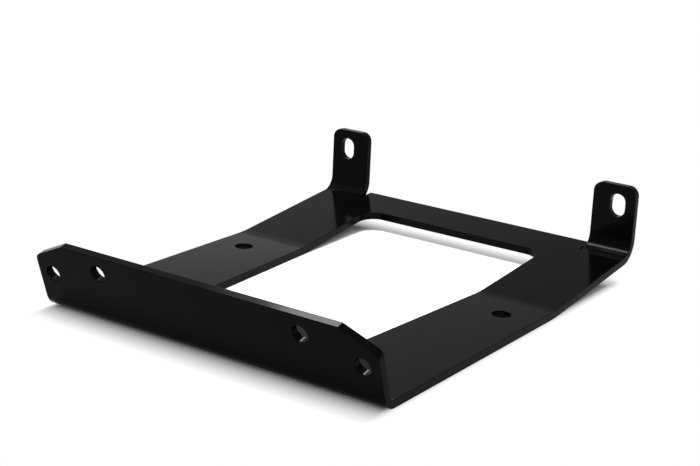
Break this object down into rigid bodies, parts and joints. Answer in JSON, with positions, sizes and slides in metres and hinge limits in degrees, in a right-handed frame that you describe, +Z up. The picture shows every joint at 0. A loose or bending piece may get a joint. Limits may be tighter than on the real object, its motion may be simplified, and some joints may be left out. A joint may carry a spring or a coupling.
{
  "type": "plow mount plate",
  "caption": "Folded steel plate that bolts under a quad bike to carry a snow plow: leaning front flange, windowed bed and two upright rear tabs with slots.",
  "frame": {"origin": "on the floor under the middle of the part's length and width, with the flat front part of the plate lying on the floor", "axes": "+X across the plate to the right seen from the front flange, +Y from the front flange to the rear tabs, +Z up"},
  "size_m": [0.241, 0.3058, 0.0608],
  "materials": {
    "powder_coat": "semi-gloss black powder coat on sheet steel"
  },
  "bodies": {
    "root": {"mount_plate": "powder_coat"}
  },
  "joints": []
}
